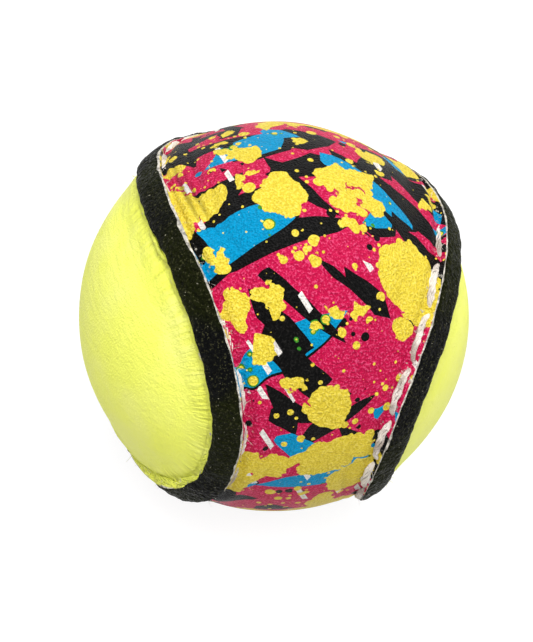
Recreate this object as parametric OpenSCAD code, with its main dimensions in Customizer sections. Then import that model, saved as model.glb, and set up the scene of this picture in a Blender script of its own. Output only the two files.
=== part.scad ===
// Rimmed leather ball: a cork core wound with yarn, under two leather panels of figure-of-eight
// outline. The panels' edges turn up back to back into a rim and are saddle-stitched through it.
// The origin is the ball's centre. The printed panel has its waist at -Y and its lobes at +Z and -Z,
// and the yellow panel has its waist at +Y and its lobes at +X and -X. Sizes are in millimetres.

/* [Ball] */
// Diameter over the leather, between the rims
ball_d = 70; // [62:0.5:78]
// Width of a panel at its waist, from seam to seam
waist_w = 27; // [22:0.5:32]

/* [Cover] */
// Thickness of the leather
leather_t = 2.4; // [1.8:0.1:2.9]
// Height of the finished rim above the leather
rim_h = 2.4; // [2.2:0.1:2.9]
// Inside radius of the bend at the foot of the rim
bend_r = 1; // [0.7:0.05:1.2]
// Rounding of the trimmed edge at the top of the rim
edge_r = 0.4; // [0.3:0.05:0.5]
// Gap that is left between the two leathers in the rim
seam_gap = 0.1; // [0.05:0.05:0.2]

/* [Rim coat] */
// Thickness of the black coat
coat_t = 0.25; // [0.15:0.05:0.35]
// How far above the stitches the coat ends
coat_clear = 0.15; // [0.1:0.05:0.25]

/* [Stitching] */
// Number of stitch pairs along the seam, each one stitch of either thread
stitch_pairs = 21; // [16:1:26]
// Thickness of the thread
thread_d = 0.8; // [0.6:0.05:0.9]
// Free play of the thread in its holes and on the leather
thread_play = 0.1; // [0.08:0.01:0.12]

/* [Core] */
// Diameter of the cork
cork_d = 36; // [28:1:44]
// Thickness of the cotton layer
cotton_t = 2; // [1:0.25:4]
// Thickness of the latex coat
latex_t = 0.3; // [0.2:0.05:0.6]
// Gap left between one layer and the next
layer_gap = 0.2; // [0.15:0.05:0.3]

/* [Hidden] */
$fn = 96;

// Steps along the seam, across a panel, round a bend on its outside and its inside, round a trimmed
// edge and round the thread. The first is a multiple of 4 but not of 8 and the second is odd, so that
// a face and not a corner lies at the middle of each lobe, and the ball has a face to stand on.
seam_steps = 84;
panel_steps = 11;
bend_steps = 4;
inner_steps = 3;
edge_steps = 2;
thread_sides = 6;

ball_r = ball_d / 2;
core_r = ball_r - leather_t - layer_gap;
cotton_r = core_r - latex_t - layer_gap;
wool_r = cotton_r - cotton_t - layer_gap;

// The seam is a closed curve on the ball: a circle and its third harmonic
wave_b = (1 - waist_w / ball_d) / 2;
wave_a = 1 - wave_b;
wave_y = 2 * sqrt(wave_a * wave_b);

// Cross-section of the rim, from the seam: flange face, top of the leather, foot bend
flange_in = seam_gap / 2;
flange_out = flange_in + leather_t;
flange_top = rim_h - coat_t;
foot_x = flange_out + bend_r;
foot_angle = asin(foot_x / (ball_r + bend_r));
foot_y = (ball_r + bend_r) * cos(foot_angle) - ball_r;

// The thread lies in the foot of the rim, and its two ends cross in each hole one above the other
thread_r = thread_d / 2;
lie_x = flange_out + thread_r + thread_play;
lie_y = foot_y;
cross_y = thread_r + thread_play / 4;
hole_r = thread_d + thread_play;
thread_turn = hole_r;
mouth_y = cross_y * 3 / 4;
stitch_n = 2 * stitch_pairs;
stitch_step = 360 / stitch_n;

// The coat ends above the stitches, which also limits the rounding that it goes over
coat_low = lie_y + mouth_y + thread_r + coat_clear;
top_r = min(edge_r, flange_top - coat_low);

function unit(v) = v / norm(v);

// Direction from the centre to the seam, the seam's own direction there, and the way into the printed panel
function seam_dir(p) = [wave_a * cos(p) - wave_b * cos(3 * p), -wave_y * cos(2 * p),
                        wave_a * sin(p) + wave_b * sin(3 * p)];
function seam_run(p) = [-wave_a * sin(p) + 3 * wave_b * sin(3 * p), 2 * wave_y * sin(2 * p),
                        wave_a * cos(p) + 3 * wave_b * cos(3 * p)];
function seam_side(p) = cross(seam_dir(p), unit(seam_run(p)));

// A point of the rim's cross-section: x from the seam into the printed panel, y above the leather
function at_seam(p, xy) = (ball_r + xy[1]) * seam_dir(p) + xy[0] * seam_side(p);

// The place on the seam that lies a length further along
function further(p, length) = p + length / (ball_r * norm(seam_run(p))) * 180 / PI;

// Arc of the foot bend, from the panel up to the flange
function foot_arc(r, steps) = [for (k = [0 : steps])
    let (turn = 270 - foot_angle - (90 - foot_angle) * k / steps)
    [foot_x + r * cos(turn), foot_y + r * sin(turn)]];

// Rounded top edge of a flange, from its face to its top, grown by a coat
function top_edge(grow) = [for (k = [0 : edge_steps])
    let (turn = 90 * k / edge_steps)
    [flange_out - top_r + (top_r + grow) * cos(turn), flange_top - top_r + (top_r + grow) * sin(turn)]];

function backwards(list) = [for (k = [len(list) - 1 : -1 : 0]) list[k]];
function mirrored(list) = [for (xy = list) [-xy[0], xy[1]]];

// Outline of the turned-up edge, from the panel's outside over the rim to its inside
edge_outline = concat(foot_arc(bend_r, bend_steps), top_edge(0), [[flange_in, flange_top]],
                      backwards(foot_arc(bend_r + leather_t, inner_steps)));
edge_n = len(edge_outline);

function seam_angle(i) = -90 + 360 * i / seam_steps;
function slide(u, v, f) = let (turn = acos(u * v))
    (sin((1 - f) * turn) * u + sin(f * turn) * v) / sin(turn);

// Two triangles for the four corners of a patch
function patch(a, b, c, d) = [[a, b, c], [a, c, d]];

// One panel: a ring of edge outlines round the seam, closed by an outer and an inner skin.
// A skin is ruled by rungs that join the two sides of the panel across its middle line.
module cover_panel() {
    rungs = seam_steps / 2;
    ring = [for (i = [0 : seam_steps - 1]) for (k = [0 : edge_n - 1])
        at_seam(seam_angle(i), edge_outline[k])];

    function skin(k, r) = [for (i = [1 : rungs - 1]) for (j = [1 : panel_steps - 1])
        r * slide(unit(ring[i * edge_n + k]), unit(ring[(seam_steps - i) * edge_n + k]), j / panel_steps)];
    outer = skin(0, ball_r);
    inner = skin(edge_n - 1, ball_r - leather_t);

    function on_skin(i, j, k, first) =
        (i == 0 || i == rungs || j == 0) ? i * edge_n + k
        : j == panel_steps ? (seam_steps - i) * edge_n + k
        : first + (i - 1) * (panel_steps - 1) + j - 1;
    function skin_faces(k, first, flip) = [for (i = [0 : rungs - 1]) for (j = [0 : panel_steps - 1])
        let (a = on_skin(i, j, k, first), b = on_skin(i, j + 1, k, first),
             c = on_skin(i + 1, j + 1, k, first), d = on_skin(i + 1, j, k, first),
             corners = i == 0 ? [[a, c, d]] : i == rungs - 1 ? [[a, b, c]] : patch(a, b, c, d))
        for (face = corners) flip ? backwards(face) : face];

    edge_faces = [for (i = [0 : seam_steps - 1]) for (k = [0 : edge_n - 2])
        let (next = (i + 1) % seam_steps)
        for (face = patch(i * edge_n + k, next * edge_n + k, next * edge_n + k + 1, i * edge_n + k + 1)) face];

    polyhedron(
        points = concat(ring, outer, inner),
        faces = concat(edge_faces, skin_faces(0, len(ring), false),
                       skin_faces(edge_n - 1, len(ring) + len(outer), true)));
}

// Awl holes through both flanges, one for each station of the stitching
module stitch_holes() {
    for (k = [0 : stitch_n - 1]) {
        p = k * stitch_step;
        run = unit(seam_run(p));
        up = seam_dir(p);
        side = seam_side(p);
        foot = at_seam(p, [0, lie_y]);
        multmatrix([[run[0], up[0], side[0], foot[0]],
                    [run[1], up[1], side[1], foot[1]],
                    [run[2], up[2], side[2], foot[2]],
                    [0, 0, 0, 1]])
            cylinder(r = hole_r, h = 2 * foot_x, center = true);
    }
}

// One end of the saddle stitch, as points [place along the seam, distance from it, height].
// It lies on one side of the rim, goes through a hole, then lies on the other side.
function stitch(k, way) = let (
    here = k * stitch_step,
    there = here + stitch_step,
    side = (k % 2 == 0 ? 1 : -1) * way,
    high = lie_y + way * cross_y,
    mouth = [side * (lie_x - thread_r / 2), lie_y + way * mouth_y])
    [[here, side * thread_r, high],
     [here, side * (flange_out - thread_r), high],
     [further(here, thread_turn / 3), mouth[0], mouth[1]],
     [further(here, thread_turn), side * lie_x, lie_y],
     [here + stitch_step / 4, side * lie_x, lie_y],
     [here + stitch_step / 2, side * lie_x, lie_y],
     [there - stitch_step / 4, side * lie_x, lie_y],
     [further(there, -thread_turn), side * lie_x, lie_y],
     [further(there, -thread_turn / 3), mouth[0], mouth[1]],
     [there, side * (flange_out - thread_r), high],
     [there, side * thread_r, high]];

// A thread: rings of points set square to the route, joined into one tube
module sewn_thread(way) {
    route = [for (k = [0 : stitch_n - 1]) for (q = stitch(k, way)) q];
    points = [for (q = route) at_seam(q[0], [q[1], q[2]])];
    last = len(points) - 1;
    rings = [for (i = [0 : last])
        let (run = unit(points[min(i + 1, last)] - points[max(i - 1, 0)]),
             aside = unit(cross(run, seam_dir(route[i][0]))),
             up = cross(aside, run))
        for (s = [0 : thread_sides - 1])
            let (turn = 360 * s / thread_sides)
            points[i] + thread_r * (cos(turn) * up + sin(turn) * aside)];
    walls = [for (i = [0 : last - 1]) for (s = [0 : thread_sides - 1])
        let (next = (s + 1) % thread_sides, a = i * thread_sides, b = a + thread_sides)
        for (face = patch(a + s, b + s, b + next, a + next)) face];
    polyhedron(
        points = rings,
        faces = concat(walls, [[for (s = [0 : thread_sides - 1]) s]],
                       [[for (s = [thread_sides - 1 : -1 : 0]) last * thread_sides + s]]));
}

module layer(outer_r, inner_r) {
    difference() {
        sphere(r = outer_r);
        sphere(r = inner_r);
    }
}

module cork_core() {
    color("BurlyWood") sphere(r = cork_d / 2);
}

module wool_winding() {
    color("LightGray") layer(wool_r, cork_d / 2 + layer_gap);
}

module cotton_winding() {
    color("Ivory") layer(cotton_r, wool_r + layer_gap);
}

module latex_coat() {
    color("Wheat") layer(core_r, cotton_r + layer_gap);
}

module printed_panel() {
    color("DeepPink") difference() {
        cover_panel();
        stitch_holes();
    }
}

// The same panel, set on the other half of the ball by the seam's own symmetry
module yellow_panel() {
    color("Yellow") difference() {
        rotate([0, -90, 0]) mirror([0, 1, 0]) cover_panel();
        stitch_holes();
    }
}

// A cap over both trimmed edges, open below, swept round the seam
module rim_coat() {
    lift = seam_gap / 4;
    over = concat([[flange_out + coat_t, coat_low]], top_edge(coat_t),
                  backwards(mirrored(top_edge(coat_t))),
                  [[-flange_out - coat_t, coat_low]]);
    under = concat([[-flange_out - lift, coat_low]],
                   mirrored(top_edge(lift)), backwards(top_edge(lift)),
                   [[flange_out + lift, coat_low]]);
    outline = concat(over, under);
    n = len(outline);
    color("Black") polyhedron(
        points = [for (i = [0 : seam_steps - 1]) for (xy = outline) at_seam(seam_angle(i), xy)],
        faces = [for (i = [0 : seam_steps - 1]) for (k = [0 : n - 1])
            let (a = i * n, b = ((i + 1) % seam_steps) * n, next = (k + 1) % n)
            for (face = patch(a + k, b + k, b + next, a + next)) face]);
}

module first_thread() {
    color("Linen") sewn_thread(1);
}

module second_thread() {
    color("Linen") sewn_thread(-1);
}

cork_core();
wool_winding();
cotton_winding();
latex_coat();
printed_panel();
yellow_panel();
rim_coat();
first_thread();
second_thread();
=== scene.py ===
import math
import random

import bmesh
import bpy
from mathutils import Matrix, Vector, kdtree, noise


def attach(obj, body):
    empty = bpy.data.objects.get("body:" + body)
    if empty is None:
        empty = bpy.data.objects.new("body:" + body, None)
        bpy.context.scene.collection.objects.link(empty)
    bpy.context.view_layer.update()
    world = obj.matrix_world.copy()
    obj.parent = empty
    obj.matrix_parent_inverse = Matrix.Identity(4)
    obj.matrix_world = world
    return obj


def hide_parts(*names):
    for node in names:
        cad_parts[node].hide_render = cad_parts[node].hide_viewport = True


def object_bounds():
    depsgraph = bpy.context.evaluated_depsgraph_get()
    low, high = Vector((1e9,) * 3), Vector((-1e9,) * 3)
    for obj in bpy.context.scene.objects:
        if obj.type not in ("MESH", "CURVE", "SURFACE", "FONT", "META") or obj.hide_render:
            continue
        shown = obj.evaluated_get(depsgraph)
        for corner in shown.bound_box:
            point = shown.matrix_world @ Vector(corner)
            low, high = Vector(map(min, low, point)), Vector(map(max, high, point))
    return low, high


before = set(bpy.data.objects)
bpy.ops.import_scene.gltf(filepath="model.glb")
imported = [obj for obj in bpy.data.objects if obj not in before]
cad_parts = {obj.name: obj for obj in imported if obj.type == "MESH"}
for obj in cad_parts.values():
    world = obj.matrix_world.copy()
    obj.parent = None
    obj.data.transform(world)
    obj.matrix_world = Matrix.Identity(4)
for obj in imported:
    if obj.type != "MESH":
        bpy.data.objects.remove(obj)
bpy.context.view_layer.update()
mm = 0.001                       # shapes are worked out in millimetres and scaled when the mesh is made
quarterTurn = math.pi / 2
fullTurn = 2 * math.pi
print("frame loaded with", len(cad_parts), "solids")


# The ball's own measures, as the solids have them
ball = {
    "radius": 35.0,
    "waist": 27.0,               # a panel at its narrowest
    "leather": 2.4,
    "seamGap": 0.1,
    "rim": 2.4,                  # finished rim above the leather
    "coat": 0.25,
    "bend": 1.0,                 # inside radius at the foot of the rim
    "stitches": 42,
}

# What the hand leaves in the rim and beside it. A place is degrees along the seam, half length and how much.
hand = {
    "sway": 0.30, "swayEvery": 9.0,
    "rise": 0.16, "riseEvery": 6.0, "riseFrom": Vector((7, 3, 5)),
    "leans": [(143, 26, 0.85), (25, 26, -0.30), (200, 12, -0.45),      # over towards the printed panel
              (222, 10, 0.3), (262, 30, 0.4), (340, 14, 0.5)],
    "presses": [(64, 14, 1.0), (110, 12, 0.8), (221, 15, 1.35), (340, 14, 0.8)],       # down
    "heap": 0.30, "heapAt": 4.6, "heapWide": 1.7,      # leather that the stitches push up beside the rim
    "scallop": 0.35,                                   # share by which it is lower at a hole
    "covered": {                 # where it hides the stitches, on the printed and on the yellow side
        1: [(48, 13, 1.2), (138, 22, 1.0), (178, 20, 0.68), (275, 26, 0.5)],
        -1: [(220, 14, 0.8), (148, 24, 0.2)],
    },
    "coveredHeap": 0.75,
}

ballR = ball["radius"]
waveB = (1 - ball["waist"] / (2 * ballR)) / 2
waveA = 1 - waveB
waveY = 2 * math.sqrt(waveA * waveB)
flangeIn = ball["seamGap"] / 2
flangeOut = flangeIn + ball["leather"]
flangeTop = ball["rim"] - ball["coat"]
footX = flangeOut + ball["bend"]
footAngle = math.asin(footX / (ballR + ball["bend"]))
footY = (ballR + ball["bend"]) * math.cos(footAngle) - ballR
stitchTurn = fullTurn / ball["stitches"]


def smoothStep(low, high, value):
    t = min(max((value - low) / (high - low), 0), 1)
    return t * t * (3 - 2 * t)


def bell(value, width):
    return math.exp(-(value / width) ** 2)


def seamUp(turn):
    return Vector((waveA * math.cos(turn) - waveB * math.cos(3 * turn),
                   -waveY * math.cos(2 * turn),
                   waveA * math.sin(turn) + waveB * math.sin(3 * turn)))


def seamRun(turn):
    return Vector((-waveA * math.sin(turn) + 3 * waveB * math.sin(3 * turn),
                   2 * waveY * math.sin(2 * turn),
                   waveA * math.cos(turn) + 3 * waveB * math.cos(3 * turn)))


def turnsApart(turn, other):
    return (turn - other + math.pi) % fullTurn - math.pi


def sumAt(turn, places):
    return sum(much * bell(turnsApart(turn, math.radians(at)), math.radians(long))
               for at, long, much in places)


def stitchPlace(turn):           # how far along its stitch a place is, from 0 to 1
    return turn / stitchTurn % 1


def leatherHeap(turn, way, gap):
    deep = hand["coveredHeap"] * sumAt(turn, hand["covered"][way])
    scallop = 1 - hand["scallop"] * (1 - math.sin(math.pi * stitchPlace(turn)))
    return (hand["heap"] * scallop + deep) * bell(gap - hand["heapAt"], hand["heapWide"])


# A point of the rim's cross-section: out is from the seam into the printed panel, height above the leather
def atSeam(turn, out, height):
    up = seamUp(turn)
    side = up.cross(seamRun(turn).normalized())
    spot = up * ballR
    sway = hand["sway"] * noise.noise(spot / hand["swayEvery"])
    rise = hand["rise"] * noise.noise(spot / hand["riseEvery"] + hand["riseFrom"])
    rise -= sumAt(turn, hand["presses"])
    lean = sumAt(turn, hand["leans"])
    share = smoothStep(0, flangeTop, height)
    return up * (ballR + height + rise * share) + side * (out + sway + lean * share)


def makePiece(name, points, faces, node, attributes=None):
    mesh = bpy.data.meshes.new(name)
    mesh.from_pydata([point * mm for point in points], [], faces)
    bm = bmesh.new()
    bm.from_mesh(mesh)
    bmesh.ops.recalc_face_normals(bm, faces=bm.faces)
    bm.to_mesh(mesh)
    bm.free()
    mesh.shade_smooth()
    for key, values in (attributes or {}).items():
        isVector = isinstance(values[0], Vector)
        layer = mesh.attributes.new(key, "FLOAT_VECTOR" if isVector else "FLOAT", "POINT")
        for item, value in zip(layer.data, values):
            if isVector:
                item.vector = value
            else:
                item.value = value
    piece = bpy.data.objects.new(name, mesh)
    bpy.context.scene.collection.objects.link(piece)
    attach(piece, "root")
    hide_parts(node)
    print(name, "has", len(mesh.vertices), "points")
    return piece


# Leather panels: a ring of edge outlines round the seam, closed by an outer and an inner skin
leather = {
    "steps": 640,                # along the seam
    "seamFine": 3,               # times as many for the nearest place on the seam
    "across": 64,                # across the panel
    "bendSteps": 7, "footRound": 1.3,
    "edgeSteps": 4, "edgeRound": 0.62,
    "edgeKept": 2,               # points of the rounded edge that keep the leather's finish
    "flatAt": (0.66, 0.5, 0.33, 0.16), "insideAt": 0.6, "insideSteps": 5,
    "pull": 0.42, "pullDown": 0.5,                     # how far a stitch pulls the leather in
    "pullWide": 1.2, "pullHigh": 1.0, "pullOut": 1.4,  # how far that reaches along, up and out
    "edgeBlend": 1.5,                                  # swell, pucker and crease begin beside the foot
    "swell": 0.16, "swellEvery": 13.0,                 # unevenness of the winding underneath
    "pucker": 0.08, "puckerEvery": 2.0, "puckerReach": 4.0, "puckerDrift": 2,
    "crease": 0.30, "creaseEvery": 3.2, "creaseLong": 11, "creaseSharp": (0.15, 0.5),
    "creaseFrom": Vector((0, 9, 4)),
    "creaseApart": 14, "creaseOn": (0.05, 0.45), "creaseOnFrom": Vector((2, 8, 1)),
    # single creases: degrees along the seam, half length, distance from the seam, slant, depth, width
    "creases": {
        1: [(135, 9, 5.0, 4, 0.75, 0.50), (137, 8, 6.5, 6, 0.65, 0.50), (132, 7, 8.0, 3, 0.55, 0.55),
            (140, 6, 9.2, -6, 0.40, 0.50), (352, 9, 6.0, 5, 0.30, 0.6)],
        -1: [(204, 10, 5.4, -5, 0.22, 0.6)],
    },
}


# Cross-section of a panel's turned-up edge, and where it is raw
def edgeOutline():
    bend = leather["footRound"]
    centreX = flangeOut + bend
    angle = math.asin(centreX / (ballR + bend))
    centreY = (ballR + bend) * math.cos(angle) - ballR

    def arc(radius, steps):
        turns = [3 * quarterTurn - angle - (quarterTurn - angle) * k / steps for k in range(steps + 1)]
        return [(centreX + radius * math.cos(t), centreY + radius * math.sin(t)) for t in turns]

    edge = leather["edgeRound"]
    foot = arc(bend, leather["bendSteps"])
    top = [(flangeOut - edge + edge * math.cos(t), flangeTop - edge + edge * math.sin(t))
           for t in [quarterTurn * k / leather["edgeSteps"] for k in range(leather["edgeSteps"] + 1)]]
    flat = [(flangeOut * f, flangeTop) for f in leather["flatAt"]] + [(flangeIn, flangeTop)]
    inside = arc(bend + ball["leather"], leather["insideSteps"])[::-1]
    outline = foot + top + flat + [(flangeIn, flangeTop * leather["insideAt"])] + inside
    finished = len(foot) + leather["edgeKept"]
    return outline, [0.0] * finished + [1.0] * (len(outline) - finished)


# The stitches pull the foot of the rim in at every hole
def stitchPull(turn, out, height):
    away = stitchPlace(turn)
    along = min(away, 1 - away) * stitchTurn * seamRun(turn).length * ballR
    near = bell(height - footY, leather["pullHigh"]) * bell(out - flangeOut, leather["pullOut"])
    return leather["pull"] * bell(along, leather["pullWide"]) * near


# How far the outer skin stands off the round, and how deep the single creases cut in
def skinRelief(way, ray, spot, turn, gap):
    near = bell(gap - footX, leather["puckerReach"])
    edge = smoothStep(footX, footX + leather["edgeBlend"], gap)
    lift = leather["swell"] * noise.noise(ray * (ballR / leather["swellEvery"])) * edge
    pleat = noise.noise(spot / leather["puckerEvery"] + ray * leather["puckerDrift"])
    lift += leather["pucker"] * pleat * near * edge
    off = Vector((gap / leather["creaseEvery"], 0, 0))
    fold = noise.noise(spot / leather["creaseLong"] + leather["creaseFrom"] + off)
    patch = noise.noise(spot / leather["creaseApart"] + leather["creaseOnFrom"])
    where = smoothStep(*leather["creaseOn"], patch)
    lift -= leather["crease"] * smoothStep(*leather["creaseSharp"], fold) * where * near * edge
    lift += leatherHeap(turn, way, gap)
    folded = 0
    for at, long, apart, slant, depth, wide in leather["creases"][way]:
        along = turnsApart(turn, math.radians(at))
        folded += depth * bell(along, math.radians(long)) * bell(gap - apart - slant * along, wide)
    return lift, folded


def makePanel(name, way, start, node):
    steps, across = leather["steps"], leather["across"]
    outline, raw = edgeOutline()
    edgeCount = len(outline)
    rungs = steps // 2
    points, faces, seamSpot, seamGap, rawEdge, paintedFoldShade = [], [], [], [], [], []
    seamSteps = steps * leather["seamFine"]
    seamTree = kdtree.KDTree(seamSteps)
    for k in range(seamSteps):
        seamTree.insert(atSeam(fullTurn * k / seamSteps, 0, 0), k)
    seamTree.balance()

    def addPoint(point, spot, gap, bare, paintedCreaseShade):
        points.append(point)
        seamSpot.append(spot)
        seamGap.append(gap)
        rawEdge.append(bare)
        paintedFoldShade.append(paintedCreaseShade)

    for i in range(steps):
        turn = start + fullTurn * i / steps
        spot = atSeam(turn, 0, 0)
        for (out, height), bare in zip(outline, raw):
            pull = stitchPull(turn, out, height)
            heap = leatherHeap(turn, way, out) if bare == 0 and height < footY else 0
            height += heap - leather["pullDown"] * pull
            addPoint(atSeam(turn, way * (out - pull), height), spot, out, bare, 0.0)
    for i in range(steps):
        here, there = i * edgeCount, (i + 1) % steps * edgeCount
        for k in range(edgeCount - 1):
            faces.append((here + k, there + k, there + k + 1, here + k + 1))

    def slide(u, v, f):
        turn = u.angle(v)
        return (u * math.sin((1 - f) * turn) + v * math.sin(f * turn)) / math.sin(turn)

    # a skin is ruled by rungs across the panel's middle line, with points closer together near the rim
    def addSkin(k, base, outside):
        first = len(points)
        for i in range(1, rungs):
            left, right = points[i * edgeCount + k], points[(steps - i) * edgeCount + k]
            for j in range(1, across):
                f = (1 - math.cos(math.pi * j / across)) / 2
                ray = slide(left.normalized(), right.normalized(), f)
                spot, index, gap = seamTree.find(ray * base)
                gap = max(gap, footX)
                lift, folded = 0, 0
                if outside:
                    lift, folded = skinRelief(way, ray, spot, fullTurn * index / seamSteps, gap)
                bare = 0.0 if outside else 1.0
                # a crease's depth is also kept for the painted shade along the print's creases
                addPoint(ray * (base + lift - folded), spot, gap, bare, min(1.0, folded))

        def at(i, j):
            if i in (0, rungs) or j == 0:
                return i * edgeCount + k
            if j == across:
                return (steps - i) * edgeCount + k
            return first + (i - 1) * (across - 1) + j - 1

        for i in range(rungs):
            for j in range(across):
                corners = [at(i, j), at(i, j + 1), at(i + 1, j + 1), at(i + 1, j)]
                faces.append(tuple(dict.fromkeys(corners)))

    addSkin(0, ballR, True)
    addSkin(edgeCount - 1, ballR - ball["leather"], False)
    return makePiece(name, points, faces, node,
                     {"seamSpot": seamSpot, "seamGap": seamGap, "rawEdge": rawEdge, "paintedFoldShade": paintedFoldShade})


printedPanel = makePanel("printed_leather_panel", 1, -quarterTurn, "printed_panel")
yellowPanel = makePanel("yellow_leather_panel", -1, 0.0, "yellow_panel")


# Black coat over both cut edges: a domed cap that ends unevenly on either side
rimCoat = {
    "steps": 1000, "across": 26, "half": 2.90, "low": 1.25, "square": 3.1,
    "endRound": 2.2,                                       # points over which it thins out at its ends
    "clear": 0.01, "underSquare": 7, "bed": 0.04,          # its underside, bedded in the leather
    # an end is in degrees round the cap; bare is where it is worn back, as a place in degrees
    "printed": {
        "end": 20, "from": Vector((5, 1, 3)),
        "bare": [(14, 34, 30), (50, 14, 26), (122, 10, 44), (140, 9, 44), (155, 7, 36), (168, 8, 36),
                 (182, 9, 34), (196, 6, 22)],
    },
    "yellow": {"end": 5, "from": Vector((2, 6, 9)), "bare": [(209, 10, 95), (145, 2.5, 34)]},
    "wander": 10, "wanderEvery": 1.9, "fineEvery": 0.8, "fineShare": 0.7,
    "bite": 13, "biteEvery": 5.0, "biteOn": (0.26, 0.46), "biteFrom": 2,
    "lump": 0.20, "lumpEvery": 2.1, "grit": 0.09, "gritEvery": 0.7,
    "swellFrom": 1.5,                                      # lumps grow from a line this far under it
    "groove": 0.07, "grooveWide": 0.5,                     # along the middle, where the leathers meet
}


def capOutline(angle, half, top, square):
    c, s = math.cos(angle), math.sin(angle)
    return (half * math.copysign(abs(c) ** (2 / square), c),
            rimCoat["low"] + (top - rimCoat["low"]) * max(s, 0) ** (2 / square))


def coatEnd(turn, side):
    spot = seamUp(turn) * ballR
    wander = noise.noise(spot / rimCoat["wanderEvery"] + side["from"])
    wander += rimCoat["fineShare"] * noise.noise(spot / rimCoat["fineEvery"] + side["from"])
    patch = noise.noise(spot / rimCoat["biteEvery"] + side["from"] * rimCoat["biteFrom"])
    bite = rimCoat["bite"] * smoothStep(*rimCoat["biteOn"], patch)
    return math.radians(side["end"] + sumAt(turn, side["bare"]) + rimCoat["wander"] * wander + bite)


def makeRimCoat():
    steps, across = rimCoat["steps"], rimCoat["across"]
    points, faces = [], []
    for i in range(steps):
        turn = fullTurn * i / steps
        start = coatEnd(turn, rimCoat["printed"])
        end = math.pi - coatEnd(turn, rimCoat["yellow"])
        over, under = [], []
        for j in range(across):
            f = j / (across - 1)
            angle = start + (end - start) * f
            out, height = capOutline(angle, rimCoat["half"], ball["rim"], rimCoat["square"])
            lowOut, lowHeight = capOutline(angle, flangeOut + rimCoat["clear"], flangeTop + rimCoat["clear"],
                                           rimCoat["underSquare"])
            cover = math.sqrt(min(1, min(f, 1 - f) * (across - 1) / rimCoat["endRound"]))
            out, height = lowOut + (out - lowOut) * cover, lowHeight + (height - lowHeight) * cover
            height -= rimCoat["groove"] * bell(out, rimCoat["grooveWide"]) * cover
            spot = atSeam(turn, out, height)
            away = (spot - atSeam(turn, 0, rimCoat["low"] - rimCoat["swellFrom"])).normalized()
            bump = rimCoat["lump"] * noise.noise(spot / rimCoat["lumpEvery"])
            bump += rimCoat["grit"] * noise.noise(spot / rimCoat["gritEvery"])
            over.append(spot + away * bump * cover)
            under.append(atSeam(turn, lowOut, lowHeight - rimCoat["bed"]))
        points += over + under[::-1]
    loop = 2 * across
    for i in range(steps):
        here, there = i * loop, (i + 1) % steps * loop
        for k in range(loop):
            n = (k + 1) % loop
            faces.append((here + k, there + k, there + n, here + n))
    return makePiece("black_rim_coat", points, faces, "rim_coat")


blackCoat = makeRimCoat()


# Waxed thread: both ends of a saddle stitch, each of a few strands laid together
thread = {
    "perStitch": 34, "strands": 6, "sides": 6, "strand": 0.21, "even": 0.8,
    "tall": 0.43, "thin": 0.17,              # half spread of the strands up the rim and away from it
    "lie": 2.92, "height": 0.78, "cross": 0.34, "tilt": math.radians(28),
    "plump": (0.86, 1.14), "drop": (-0.12, 0.10),
    "slim": 0.45, "full": 0.6,               # its spread in the holes, and how soon it is full
    "sinkIn": 0.42, "sinkDown": 0.55,        # where the leather covers it
    "dyed": (-1.2, -2.2),                    # how far out it takes the yellow panel's dye
    "turnsPerMm": 0.12, "square": 4,
    "unruly": 0.7, "unrulyEvery": 1.3, "strandFrom": Vector((3, 0, 0)), "needleFrom": Vector((0, 0, 5)),
    "hairs": 26, "hairFrom": 0.75,           # tries for a stitch, and the least spread that bears one
    "hair": 0.045, "hairLong": (0.5, 1.8), "hairSides": 3, "hairAt": (0, 0.3, 0.6, 0.85, 1),
    "hairTaper": 0.6, "hairOut": 0.6, "hairAlong": 1.2, "hairCurl": 0.35, "hairOff": 0.35,
    "seed": 11,
}


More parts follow.
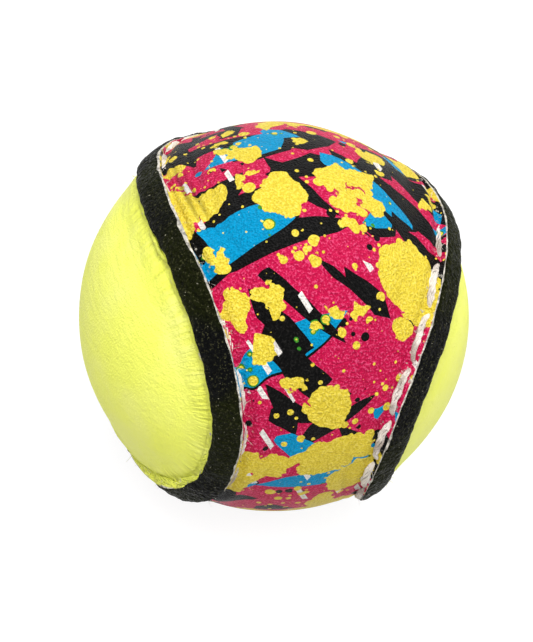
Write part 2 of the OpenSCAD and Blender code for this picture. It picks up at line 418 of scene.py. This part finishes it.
def makeThread(name, way, node):
    rng = random.Random(thread["seed"] + way)
    points, faces, yellowSide = [], [], []
    centre, uprights, swells, dyed = [], [], [], []
    for k in range(ball["stitches"]):
        side = way if k % 2 == 0 else -way
        plump, drop = rng.uniform(*thread["plump"]), rng.uniform(*thread["drop"])
        for n in range(thread["perStitch"]):
            f = (1 - math.cos(math.pi * n / thread["perStitch"])) / 2
            turn = (k + f) * stitchTurn
            reach = math.sqrt(max(0, 1 - abs(2 * f - 1) ** thread["square"]))
            sunk = sumAt(turn, hand["covered"][side])
            out = side * (thread["lie"] - thread["sinkIn"] * sunk) * reach
            height = thread["height"] + (drop - thread["sinkDown"] * sunk) * reach
            centre.append(atSeam(turn, out, height + way * thread["cross"] * (1 - reach)))
            up = seamUp(turn)
            aside = up.cross(seamRun(turn).normalized()) * side
            uprights.append(up * math.cos(thread["tilt"]) - aside * math.sin(thread["tilt"]))
            swell = reach ** 2 * math.sin(math.pi * f) ** thread["full"]
            swells.append((thread["slim"] + (1 - thread["slim"]) * swell) * plump)
            dyed.append(smoothStep(*thread["dyed"], out))

    def addTube(path, radii, sides, closed):
        first = len(points)
        last = len(path) - 1
        for i, spot in enumerate(path):
            after = path[(i + 1) % len(path)] if closed else path[min(i + 1, last)]
            before = path[i - 1] if closed else path[max(i - 1, 0)]
            run = (after - before).normalized()
            aside = run.cross(spot.normalized()).normalized()
            up = aside.cross(run)
            for s in range(sides):
                t = fullTurn * s / sides
                points.append(spot + (up * math.cos(t) + aside * math.sin(t)) * radii[i])
        for i in range(len(path) if closed else last):
            here, there = first + i * sides, first + (i + 1) % len(path) * sides
            for s in range(sides):
                n = (s + 1) % sides
                faces.append((here + s, there + s, there + n, here + n))
        if not closed:
            faces.append(tuple(first + s for s in range(sides)))
            faces.append(tuple(first + last * sides + s for s in range(sides)))

    count = len(centre)
    runs = [(centre[(i + 1) % count] - centre[i - 1]).normalized() for i in range(count)]
    lengths = [0.0]
    for i in range(1, count):
        lengths.append(lengths[-1] + (centre[i] - centre[i - 1]).length)
    twist = round(lengths[-1] * thread["turnsPerMm"]) / lengths[-1]
    for s in range(thread["strands"]):
        path = []
        for i, run in enumerate(runs):
            tall = (uprights[i] - run * uprights[i].dot(run)).normalized()
            thin = run.cross(tall)
            phase = fullTurn * (s / thread["strands"] + twist * lengths[i])
            where = centre[i] / thread["unrulyEvery"] + thread["strandFrom"] * s + thread["needleFrom"] * way
            wobble = 1 + thread["unruly"] * noise.noise(where)
            path.append(centre[i] + (tall * thread["tall"] * math.cos(phase) * wobble
                                     + thin * thread["thin"] * math.sin(phase)) * swells[i])
        radii = [thread["strand"] * (thread["even"] + (1 - thread["even"]) * swell) for swell in swells]
        addTube(path, radii, thread["sides"], True)
        yellowSide += [value for value in dyed for _ in range(thread["sides"])]
    strandPoints = len(points)

    def anyWay():
        return Vector((rng.uniform(-1, 1), rng.uniform(-1, 1), rng.uniform(-1, 1)))

    # loose fibres that stand off the strands
    hairRadii = [thread["hair"] * (1 - thread["hairTaper"] * t) for t in thread["hairAt"]]
    for _ in range(ball["stitches"] * thread["hairs"]):
        i = rng.randrange(count)
        if swells[i] < thread["hairFrom"]:
            continue
        lean = anyWay() + centre[i].normalized() * thread["hairOut"]
        lean = (lean + runs[i] * rng.choice((-1, 1)) * thread["hairAlong"]).normalized()
        long = rng.uniform(*thread["hairLong"])
        curl = anyWay() * thread["hairCurl"]
        begin = centre[i] + uprights[i] * rng.uniform(-thread["hairOff"], thread["hairOff"])
        addTube([begin + (lean + curl * t) * (long * t) for t in thread["hairAt"]],
                hairRadii, thread["hairSides"], False)
        yellowSide += [dyed[i]] * (len(points) - len(yellowSide))
    looseFibre = [0.0] * strandPoints + [1.0] * (len(points) - strandPoints)
    return makePiece(name, points, faces, node,
                     {"looseFibre": looseFibre, "yellowSide": yellowSide})


firstThread = makeThread("first_needle_thread", 1, "first_thread")
secondThread = makeThread("second_needle_thread", -1, "second_thread")


# The Mix node has its own sockets for each kind of data: these are the ones for colours
colorMix = {"factor": 0, "first": 6, "second": 7, "result": 2}


# A node's output that can be used in sums; an expression adds its Math nodes
class Wire:
    def __init__(self, tree, socket=None):
        self.tree = tree
        self.socket = socket

    def node(self, kind, settings=None, sockets=None, out=0):
        made = self.tree.nodes.new(kind)
        for key, value in (settings or {}).items():
            setattr(made, key, value)
        for key, value in (sockets or {}).items():
            if isinstance(value, Wire):
                self.tree.links.new(value.socket, made.inputs[key])
            else:
                made.inputs[key].default_value = value
        return Wire(self.tree, made.outputs[out]) if made.outputs else None

    def maths(self, operation, *values):
        return self.node("ShaderNodeMath", {"operation": operation}, dict(enumerate(values)))

    def __add__(self, other):
        return self.maths("ADD", self, other)

    def __sub__(self, other):
        return self.maths("SUBTRACT", self, other)

    def __rsub__(self, other):
        return self.maths("SUBTRACT", other, self)

    def __mul__(self, other):
        return self.maths("MULTIPLY", self, other)

    def __lt__(self, other):
        return self.maths("LESS_THAN", self, other)

    def __gt__(self, other):
        return self.maths("GREATER_THAN", self, other)

    __radd__ = __add__
    __rmul__ = __mul__

    def most(self, other):
        return self.maths("MAXIMUM", self, other)

    def size(self):
        return self.maths("ABSOLUTE", self)

    def wave(self):
        return self.maths("SINE", self)

    def step(self, low, high):       # 0 at low, 1 at high, smooth between
        return self.node("ShaderNodeMapRange", {"interpolation_type": "SMOOTHSTEP"},
                         {"Value": self, "From Min": low, "From Max": high})

    def vectors(self, operation, sockets, out="Vector"):
        return self.node("ShaderNodeVectorMath", {"operation": operation}, {0: self, **sockets}, out)

    def scaled(self, share):
        return self.vectors("SCALE", {"Scale": share})

    def moved(self, offset):
        return self.vectors("ADD", {1: offset})

    def stretched(self, scale):
        return self.vectors("MULTIPLY", {1: scale})

    def plus(self, other, share):    # this vector and a share of another
        return self.moved(other.scaled(share))

    def along(self, direction):
        return self.vectors("DOT_PRODUCT", {1: direction}, "Value")

    def laid(self, way, long):       # drawn out along a direction
        turn = Vector(way).rotation_difference(Vector((1, 0, 0))).to_euler()
        turned = self.node("ShaderNodeVectorRotate", {"rotation_type": "EULER_XYZ"},
                           {"Vector": self, "Rotation": turn})
        return turned.stretched((1 / long, 1, 1))

    def grain(self, every, detail=2.0, rough=0.5, out=0):        # 0 to 1, every so many millimetres
        return self.node("ShaderNodeTexNoise", {},
                         {"Vector": self, "Scale": 1 / every, "Detail": detail, "Roughness": rough}, out)

    def drift(self, every):          # a noise vector round zero
        return self.grain(every, 1.0, out="Color").moved((-0.5, -0.5, -0.5))

    def cells(self, every, out, feature="F1", randomness=1.0):
        return self.node("ShaderNodeTexVoronoi", {"feature": feature},
                         {"Vector": self, "Scale": 1 / every, "Randomness": randomness}, out)

    def pick(self, every, part, randomness=1.0):         # a number from 0 to 1 for each cell
        color = self.cells(every, "Color", randomness=randomness)
        return self.node("ShaderNodeSeparateXYZ", {}, {0: color}, part)

    def blobs(self, every, part, least, share, within=1.0):      # below 0 inside blobs of many sizes
        return self.cells(every, "Distance") - (self.pick(every, part) - least) * share * within

    def blend(self, first, second, how="MIX"):           # first where this is 0, second where it is 1
        return self.node("ShaderNodeMix", {"data_type": "RGBA", "blend_type": how},
                         {colorMix["factor"]: self, colorMix["first"]: first, colorMix["second"]: second},
                         colorMix["result"])


def startFinish(name):
    material = bpy.data.materials.new(name)
    material.use_nodes = True
    material.node_tree.nodes.clear()
    return material, Wire(material.node_tree)


def pointInMm(start):
    return start.node("ShaderNodeTexCoord", out="Object").scaled(1 / mm)


def attribute(start, name, out="Fac"):
    return start.node("ShaderNodeAttribute", {"attribute_name": name}, out=out)


# Heights are in millimetres, drawn several times too high because a bump this fine hardly shows otherwise
def finishWith(start, color, roughness, height, specular):
    normal = start.node("ShaderNodeBump", {}, {"Height": height, "Distance": mm, "Strength": 1.0})
    shader = start.node("ShaderNodeBsdfPrincipled", {}, {"Base Color": color, "Roughness": roughness,
                                                         "Normal": normal, "Specular IOR Level": specular})
    start.node("ShaderNodeOutputMaterial", {}, {"Surface": shader})


def fromSrgb(red, green, blue):
    def linear(value):
        value /= 255
        return value / 12.92 if value <= 0.04045 else ((value + 0.055) / 1.055) ** 2.4
    return (linear(red), linear(green), linear(blue), 1.0)


# In all finishes a grain is its size in millimetres, its detail and its roughness,
# and a band, an edge or a reach is the two values between which something fades
rawHide = {
    "pale": fromSrgb(214, 208, 196), "grey": fromSrgb(150, 146, 138),
    "grain": (0.9, 3), "band": (0.4, 0.65), "edge": (0.4, 0.6), "rough": 0.3,
}


def rawHideColor(point):
    return point.grain(*rawHide["grain"]).step(*rawHide["band"]).blend(rawHide["pale"], rawHide["grey"])


def seamPleats(start, point, look):                      # they run away from the seam
    spot = attribute(start, "seamSpot", "Vector")
    return spot.plus(point, look["pleatDrift"]).grain(*look["pleatGrain"])


# Yellow leather: satin, with fine pleats beside the rim and painted shade in their hollows
yellowLook = {
    # the deep colour is painted shade for the hollows of the pleats
    "main": fromSrgb(238, 243, 102), "pale": fromSrgb(238, 241, 124), "deep": fromSrgb(216, 219, 70),
    "smudge": fromSrgb(150, 148, 92), "roughness": 0.46, "specular": 0.14,
    "cloudGrain": (11, 3), "cloudBand": (0.35, 0.7),
    "pleatGrain": (0.85, 2.0, 0.55), "pleatDrift": 0.12, "pleatReach": (2.8, 8.4),
    "pleat": 0.80, "pleatRough": 0.08, "paintedPleatShadeBand": (0.62, 0.36), "paintedPleatShadeShare": 0.55,
    "soilReach": (2.3, 4.2), "soilGrain": (1.6, 3), "soilBand": (0.42, 0.68), "soilShare": 0.55,
    "bareGrain": (2.0, 2), "bareBand": (0.44, 0.58),
    "lineDrawn": (1.0, 0.16, 1.0), "lineGrain": (1.1, 2.0), "line": 0.20,
    "poreGrain": (0.35, 2), "pore": 0.20,
}


def makeYellowLook():
    look = yellowLook
    material, start = startFinish("yellow_leather")
    point = pointInMm(start)
    gap, raw = attribute(start, "seamGap"), attribute(start, "rawEdge")
    near = 1 - gap.step(*look["pleatReach"])
    pleats = seamPleats(start, point, look)
    lines = point.stretched(look["lineDrawn"]).grain(*look["lineGrain"])
    color = point.grain(*look["cloudGrain"]).step(*look["cloudBand"]).blend(look["main"], look["pale"])
    # painted shade: the pleats' hollows near the rim are darkened
    color = (pleats.step(*look["paintedPleatShadeBand"]) * near * look["paintedPleatShadeShare"]).blend(color, look["deep"])
    soil = (1 - gap.step(*look["soilReach"])) * point.grain(*look["soilGrain"]).step(*look["soilBand"])
    color = (soil * look["soilShare"]).blend(color, look["smudge"])
    patchy = raw.step(*rawHide["edge"]) * point.grain(*look["bareGrain"]).step(*look["bareBand"])
    color = patchy.blend(color, rawHideColor(point))
    height = (pleats * near * look["pleat"] + lines * look["line"]
              + point.grain(*look["poreGrain"]) * look["pore"])
    roughness = look["roughness"] + pleats * look["pleatRough"] + raw * rawHide["rough"]
    finishWith(start, color, roughness, height, look["specular"])
    return material


# Printed leather: a splashed pattern in six inks over fine grain
printLook = {
    "rose": fromSrgb(200, 18, 74), "lemon": fromSrgb(235, 213, 64), "ink": fromSrgb(3, 3, 3),
    "sky": fromSrgb(0, 150, 200), "chalk": fromSrgb(238, 236, 228), "leaf": fromSrgb(60, 146, 44),
    # the Glint colours are painted highlights: lighter rose, lemon and ink for the grain's high points
    "roseGlint": fromSrgb(220, 78, 122), "lemonGlint": fromSrgb(238, 218, 100),
    # the near-black crease colour is painted shade for the creases
    # the pit tint is painted shade, multiplied into the grain's hollows
    "inkGlint": fromSrgb(30, 29, 28), "paintedCreaseShade": fromSrgb(24, 20, 18), "paintedPitShade": fromSrgb(232, 224, 226),
    "roughness": 0.32, "specular": 0.06, "inkShine": 0.08,
    "shardSize": 5.0, "shardLong": 8.0, "shardWay": (0.81, 0.24, 0.54), "shardDrift": 9, "shardBend": 1.2,
    "skyFrom": 0.965, "inkFrom": 0.53, "inkTo": 0.70, "shadowFrom": (0.25, 1.3, 0.6),
    "sliverSize": 3.0, "sliverLong": 8.0, "sliverWay": (0.75, -0.58, -0.30), "sliverDrift": 8,
    "inkSliver": 0.86, "skySliver": 0.04,
    "lobes": [(6.0, 3.5), (2.2, 2.0), (0.8, 0.6)],       # size and strength of an edge's unevenness
    # blobs: size of a cell, part of its colour that picks the blob's size, least pick, share
    "splash": (13.0, 1, -0.02, 0.62), "splashEdge": (0.01, 0.0), "sprayBand": (0.80, 0.0),
    "spot": (6.0, 2, 0.30, 0.90), "spotEdge": (0.02, 0.0),
    "drop": (2.3, 0, 0.30, 0.80), "dropEdge": (0.0, -0.03), "dropRim": (0.09, 0.06),
    "mist": (1.15, 1, 0.58, 0.85),
    "blot": (2.3, 2, 0.45, 0.8), "blotFrom": (40, 9, 3),
    "blottedGrain": (12, 1), "blottedBand": (0.42, 0.58), "blottedFrom": (3, 50, 8),
    "ribbons": [(6.5, 1.6), (-14.0, 1.2)], "ribbonEdge": (0.0, -0.12),       # place and half width
    "ribbonAcross": (0.25, 0.45, -0.86), "ribbonRun": (0.9, -0.2, 0.3), "ribbonTurn": 0.21,
    "ribbonWave": 2.4, "ribbonTorn": 3.0, "tornEvery": 5,
    "dashSize": 5.0, "dashLoose": 0.5, "dashPart": 2, "dashLong": 1.6, "dashWide": 0.45, "dashFrom": 0.35,
    "dashedFrom": (31, 5, 12), "dashedGrain": (14, 1), "dashed": 0.54,
    "pebbleGrain": (0.36, 2.0, 0.6), "pebble": 0.80, "pebbleRough": 0.10,
    # bands of the painted highlights on the grain's high points and of the painted shade in its pits
    "glintBand": (0.50, 0.68), "paintedPitShadeBand": (0.60, 0.36),
    "paintedCreaseShadeBand": (0.1, 0.8), "paintedCreaseShadeShare": 0.6,
    "scuffReach": (2.6, 4.4), "scuffGrain": (0.8, 3), "scuffBand": (0.60, 0.70),
    "pleatGrain": (1.5, 2.0, 0.55), "pleatDrift": 0.15, "pleatReach": (3.0, 9.0), "pleat": 0.7,
    "waveGrain": (2.4, 2), "wave": 0.5,
}


def makePrintLook():
    look = printLook
    material, start = startFinish("printed_leather")
    point = pointInMm(start)
    gap, raw = attribute(start, "seamGap"), attribute(start, "rawEdge")

    # long shards, the sky ones with an ink shadow along one side
    laid = point.laid(look["shardWay"], look["shardLong"])
    laid = laid.plus(point.drift(look["shardDrift"]), look["shardBend"])
    shard = laid.pick(look["shardSize"], 0)
    shadow = laid.moved(look["shadowFrom"]).pick(look["shardSize"], 0) > look["skyFrom"]
    skyShard = shard > look["skyFrom"]
    inkShard = ((shard > look["inkFrom"]) * (shard < look["inkTo"])).most(shadow * (1 - skyShard))

    # smaller slivers of ink and sky that lie across them
    crossed = point.laid(look["sliverWay"], look["sliverLong"])
    crossed = crossed.plus(point.drift(look["sliverDrift"]), look["shardBend"])
    sliver = crossed.pick(look["sliverSize"], 1)
    inkSliver, skySliver = sliver > look["inkSliver"], sliver < look["skySliver"]

    # splashes of all sizes with lobed edges, and drops sprayed round the big ones
    lobed = point
    for every, share in look["lobes"]:
        lobed = lobed.plus(point.drift(every), share)
    reach = lobed.blobs(*look["splash"])
    splash = reach.step(*look["splashEdge"]).most(lobed.blobs(*look["spot"]).step(*look["spotEdge"]))
    sprayed = reach.step(*look["sprayBand"])
    drops = point.blobs(*look["drop"], sprayed)
    mist = point.blobs(*look["mist"], sprayed) < 0
    lemonMask = splash.most(drops.step(*look["dropEdge"])).most(mist)

    # ink spattered over the rose
    blotted = point.moved(look["blottedFrom"]).grain(*look["blottedGrain"]).step(*look["blottedBand"])
    blots = point.moved(look["blotFrom"]).blobs(*look["blot"], blotted) < 0

    # two waved ribbons
    wave = (point.along(look["ribbonRun"]) * look["ribbonTurn"]).wave() * look["ribbonWave"]
    across = point.along(look["ribbonAcross"]) + wave + point.grain(look["tornEvery"]) * look["ribbonTorn"]
    for place, half in look["ribbons"]:
        lemonMask = lemonMask.most(((across - place).size() - half).step(*look["ribbonEdge"]))

    # chalk dashes, all lying one way
    middle = point.cells(look["dashSize"], "Position", randomness=look["dashLoose"])
    off = point.plus(middle, -1)
    dashes = off.along(look["sliverWay"]).size() < look["dashLong"]
    dashes *= off.along(look["shardWay"]).size() < look["dashWide"]
    dashes *= point.pick(look["dashSize"], look["dashPart"], look["dashLoose"]) > look["dashFrom"]
    dashes *= middle.moved(look["dashedFrom"]).grain(*look["dashedGrain"]) > look["dashed"]

    # rose, lemon and ink are painted lighter on the grain's high points, as painted highlights
    pebble = point.grain(*look["pebbleGrain"])
    glint = pebble.step(*look["glintBand"])
    rose, lemon, ink = [glint.blend(look[name], look[name + "Glint"]) for name in ("rose", "lemon", "ink")]
    color = inkShard.most(blots).blend(rose, ink)
    color = skyShard.most(skySliver).blend(color, look["sky"])
    color = inkSliver.blend(color, ink)
    color = dashes.blend(color, look["chalk"])
    color = (drops.step(*look["dropRim"]) * skyShard).blend(color, look["leaf"])
    color = lemonMask.blend(color, lemon)
    # painted shade: the grain's hollows are multiplied darker
    color = pebble.step(*look["paintedPitShadeBand"]).blend(color, look["paintedPitShade"], "MULTIPLY")
    # painted shade: the print darkens along the deep single creases
    paintedCreaseShade = attribute(start, "paintedFoldShade").step(*look["paintedCreaseShadeBand"]) * look["paintedCreaseShadeShare"]
    color = paintedCreaseShade.blend(color, look["paintedCreaseShade"])
    scuff = (1 - gap.step(*look["scuffReach"])) * point.grain(*look["scuffGrain"]).step(*look["scuffBand"])
    hide = rawHideColor(point)
    color = raw.step(*rawHide["edge"]).blend(scuff.blend(color, hide), hide)

    near = 1 - gap.step(*look["pleatReach"])
    pleats = seamPleats(start, point, look)
    height = (pebble * look["pebble"] + pleats * near * look["pleat"]
              + point.grain(*look["waveGrain"]) * look["wave"])
    roughness = (look["roughness"] + pebble * look["pebbleRough"] + raw * rawHide["rough"]
                 - inkShard * (1 - lemonMask) * look["inkShine"])
    finishWith(start, color, roughness, height, look["specular"])
    return material


# Black coat: matt and gritty, with a few bright grains that are painted glints, and specks that are partly
# rubbed wear and partly painted glint
coatLook = {
    # the worn colour is partly rubbed wear and partly a painted glint
    "olive": fromSrgb(26, 30, 5), "navy": fromSrgb(12, 13, 14), "wornAndPaintedGlint": fromSrgb(84, 84, 56),
    # the fleck colour is a painted glint
    "paintedGlintFleck": fromSrgb(176, 172, 150), "roughness": 0.34, "specular": 0.05,
    "cloudGrain": (18, 2), "cloudBand": (0.42, 0.58),
    "wornAndPaintedGlintGrain": (0.38, 3, 0.65), "wornAndPaintedGlintBand": (0.54, 0.70),
    "paintedGlintFleckSize": 0.8, "paintedGlintFleckEdge": (0.16, 0.10), "paintedGlintFleckFrom": 0.78, "paintedGlintFleckShare": 0.8,
    "gritGrain": (0.75, 3, 0.65), "grit": 3.6, "waveGrain": (1.6, 2), "wave": 1.6,
    "lumpSize": 0.7, "lump": 2.4,
    "mattGrain": (0.5, 2), "mattBand": (0.35, 0.7), "matt": 0.35,
}


def makeCoatLook():
    look = coatLook
    material, start = startFinish("black_edge_coat")
    point = pointInMm(start)
    color = point.grain(*look["cloudGrain"]).step(*look["cloudBand"]).blend(look["olive"], look["navy"])
    # specks that are partly rubbed wear and partly painted glint
    color = point.grain(*look["wornAndPaintedGlintGrain"]).step(*look["wornAndPaintedGlintBand"]).blend(color, look["wornAndPaintedGlint"])
    # painted glints: a few bright cells over the coat
    paintedGlintFlecks = point.cells(look["paintedGlintFleckSize"], "Distance").step(*look["paintedGlintFleckEdge"])
    paintedGlintFlecks *= point.pick(look["paintedGlintFleckSize"], 0) > look["paintedGlintFleckFrom"]
    color = (paintedGlintFlecks * look["paintedGlintFleckShare"]).blend(color, look["paintedGlintFleck"])
    height = (point.grain(*look["gritGrain"]) * look["grit"] + point.grain(*look["waveGrain"]) * look["wave"]
              + point.cells(look["lumpSize"], "Distance", "SMOOTH_F1") * look["lump"])
    roughness = look["roughness"] + point.grain(*look["mattGrain"]).step(*look["mattBand"]) * look["matt"]
    finishWith(start, color, roughness, height, look["specular"])
    return material


# Waxed thread: cream, greyed by handling
threadLook = {
    "cream": fromSrgb(243, 234, 224), "grey": fromSrgb(186, 172, 160), "soil": fromSrgb(92, 80, 70),
    "roughness": 0.78, "specular": 0.3,
    "greyGrain": (3.5, 3), "greyBand": (0.40, 0.66),
    "soilGrain": (0.6, 3), "soilBand": (0.58, 0.75), "soilShare": 0.6,
    "dyeGrain": (1.2, 3), "dyeBand": (0.72, 0.60),
    "fibreGrain": (0.22, 2), "fibre": 0.5,
}


def makeThreadLook():
    look = threadLook
    material, start = startFinish("waxed_thread")
    point = pointInMm(start)
    color = point.grain(*look["greyGrain"]).step(*look["greyBand"]).blend(look["cream"], look["grey"])
    soil = point.grain(*look["soilGrain"]).step(*look["soilBand"]) * look["soilShare"]
    color = soil.blend(color, look["soil"])
    color = attribute(start, "looseFibre").blend(color, look["cream"])
    dye = attribute(start, "yellowSide") * point.grain(*look["dyeGrain"]).step(*look["dyeBand"])
    color = dye.blend(color, yellowLook["main"])
    height = point.grain(*look["fibreGrain"]) * look["fibre"]
    finishWith(start, color, look["roughness"], height, look["specular"])
    return material


# Inside the cover: cork, yarns and latex
coreLook = {
    "specular": 0.5, "band": (0.35, 0.65), "detail": 3, "rough": 0.6, "speckRough": 0.05, "speck": 0.04,
    "drawn": (1.0, 0.15, 0.6), "drift": 8, "bend": 3.0, "wound": 0.12,
    "layers": {
        "cork_core": {"light": fromSrgb(196, 150, 100), "dark": fromSrgb(112, 74, 44),
                      "every": 1.6, "roughness": 0.85},
        "wool_winding": {"light": fromSrgb(206, 200, 190), "dark": fromSrgb(140, 134, 126),
                         "every": 0.9, "roughness": 0.95},
        "cotton_winding": {"light": fromSrgb(238, 232, 216), "dark": fromSrgb(196, 188, 168),
                           "every": 0.5, "roughness": 0.9},
        "latex_coat": {"light": fromSrgb(232, 214, 172), "dark": fromSrgb(208, 184, 132),
                       "every": 4.0, "roughness": 0.45},
    },
}


def makeCoreLook(node, layer):
    look = coreLook
    material, start = startFinish(node + "_finish")
    point = pointInMm(start)
    speck = point.grain(layer["every"], look["detail"], look["rough"])
    drawn = point.stretched(look["drawn"]).plus(point.drift(look["drift"]), look["bend"])
    wound = drawn.grain(layer["every"])
    color = speck.step(*look["band"]).blend(layer["light"], layer["dark"])
    roughness = layer["roughness"] + speck * look["speckRough"]
    finishWith(start, color, roughness, wound * look["wound"] + speck * look["speck"], look["specular"])
    return material


printedPanel.data.materials.append(makePrintLook())
yellowPanel.data.materials.append(makeYellowLook())
blackCoat.data.materials.append(makeCoatLook())
threadFinish = makeThreadLook()
for piece in (firstThread, secondThread):
    piece.data.materials.append(threadFinish)
for node, layer in coreLook["layers"].items():
    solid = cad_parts[node]
    solid.data.materials.clear()
    solid.data.materials.append(makeCoreLook(node, layer))
print("finishes made")


# Floor, light and camera
studio = {
    "floorSize": 3.0, "floorWhite": 0.50, "floorGlow": 0.90, "floorShade": 0.17,
    "floorFade": (0.10, 0.30),   # how far from the middle the floor turns plain white
    "fill": 0.45,
    "lamps": [  # place round the ball and above it in degrees, distance, size, power
        {"round": -25, "above": 70, "far": 0.55, "size": 0.50, "watts": 4.15},
        {"round": 60, "above": 35, "far": 0.70, "size": 0.45, "watts": 0.6},
        {"round": 165, "above": 40, "far": 0.70, "size": 0.50, "watts": 1.8},
    ],
}


def fromRound(turn, above, far):
    a, e = math.radians(turn), math.radians(above)
    return Vector((math.sin(a) * math.cos(e), -math.cos(a) * math.cos(e), math.sin(e))) * far


def greyTone(value):
    return (value, value, value, 1)


def seenDirectly(start):         # 1 for what the camera sees, straight on, mirrored or through glass
    camera, mirrored, through = [start.node("ShaderNodeLightPath", out=out) for out in
                                 ("Is Camera Ray", "Is Glossy Ray", "Is Transmission Ray")]
    return camera.most(mirrored).most(through)


def makeFloor():
    half = studio["floorSize"] / 2
    mesh = bpy.data.meshes.new("floor")
    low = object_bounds()[0].z           # under the lowest of all pieces
    corners = [(-half, -half, low), (half, -half, low), (half, half, low), (-half, half, low)]
    mesh.from_pydata(corners, [], [(0, 1, 2, 3)])
    floor = bpy.data.objects.new("floor", mesh)
    bpy.context.scene.collection.objects.link(floor)
    material, start = startFinish("floor_white")
    plain = start.node("ShaderNodeBsdfDiffuse", {}, {"Color": greyTone(studio["floorWhite"])})
    shade = start.node("ShaderNodeBsdfDiffuse", {}, {"Color": greyTone(studio["floorShade"])})
    glow = start.node("ShaderNodeEmission", {}, {"Color": greyTone(1), "Strength": studio["floorGlow"]})
    lit = start.node("ShaderNodeAddShader", {}, {0: shade, 1: glow})
    away = start.node("ShaderNodeTexCoord", out="Object").vectors("LENGTH", {}, "Value")
    bright = start.node("ShaderNodeEmission", {}, {"Color": greyTone(1), "Strength": 1.0})
    lit = start.node("ShaderNodeMixShader", {}, {0: away.step(*studio["floorFade"]), 1: lit, 2: bright})
    surface = start.node("ShaderNodeMixShader", {}, {0: seenDirectly(start), 1: plain, 2: lit})
    start.node("ShaderNodeOutputMaterial", {}, {"Surface": surface})
    mesh.materials.append(material)


def makeLight():
    world = bpy.data.worlds.new("studio")
    bpy.context.scene.world = world
    world.use_nodes = True
    world.node_tree.nodes.clear()
    start = Wire(world.node_tree)
    strength = studio["fill"] + seenDirectly(start) * (1 - studio["fill"])
    glow = start.node("ShaderNodeBackground", {}, {"Color": greyTone(1), "Strength": strength})
    start.node("ShaderNodeOutputWorld", {}, {"Surface": glow})
    for number, lamp in enumerate(studio["lamps"]):
        data = bpy.data.lights.new("softbox_%d" % number, "AREA")
        data.shape, data.size, data.energy = "DISK", lamp["size"], lamp["watts"]
        holder = bpy.data.objects.new(data.name, data)
        bpy.context.scene.collection.objects.link(holder)
        holder.location = fromRound(lamp["round"], lamp["above"], lamp["far"])
        holder.rotation_euler = (-holder.location).to_track_quat("-Z", "Y").to_euler()


shot = {
    "round": -20.3, "above": 43.2, "roll": 15.5, "far": 8.0,      # far is in ball radii
    "frame": (533, 642), "sensor": 36.0, "clip": (0.05, 40),      # clip is in camera distances
    "limb": 195.0, "middle": (273.7, 316.5),       # the leather's radius and the ball's centre, in pixels
}


def makeCamera():
    data = bpy.data.cameras.new("camera")
    far = shot["far"] * ballR * mm
    focal = shot["limb"] * math.sqrt(shot["far"] ** 2 - 1)        # in pixels
    data.sensor_width = shot["sensor"]
    data.lens = focal * shot["sensor"] / max(shot["frame"])
    data.clip_start, data.clip_end = [far * share for share in shot["clip"]]
    camera = bpy.data.objects.new("camera", data)
    bpy.context.scene.collection.objects.link(camera)
    back = fromRound(shot["round"], shot["above"], 1)
    turned = (-back).to_track_quat("-Z", "Y").to_matrix()
    turned = turned @ Matrix.Rotation(math.radians(shot["roll"]), 3, "Z")
    (wide, tall), (x, y) = shot["frame"], shot["middle"]
    slide = Vector((wide / 2 - x, y - tall / 2, 0)) * (far / focal)
    camera.matrix_world = Matrix.Translation(back * far + turned @ slide) @ turned.to_4x4()
    bpy.context.scene.camera = camera


makeFloor()
makeLight()
makeCamera()
bpy.context.scene.view_settings.view_transform = "Standard"
print("studio ready")
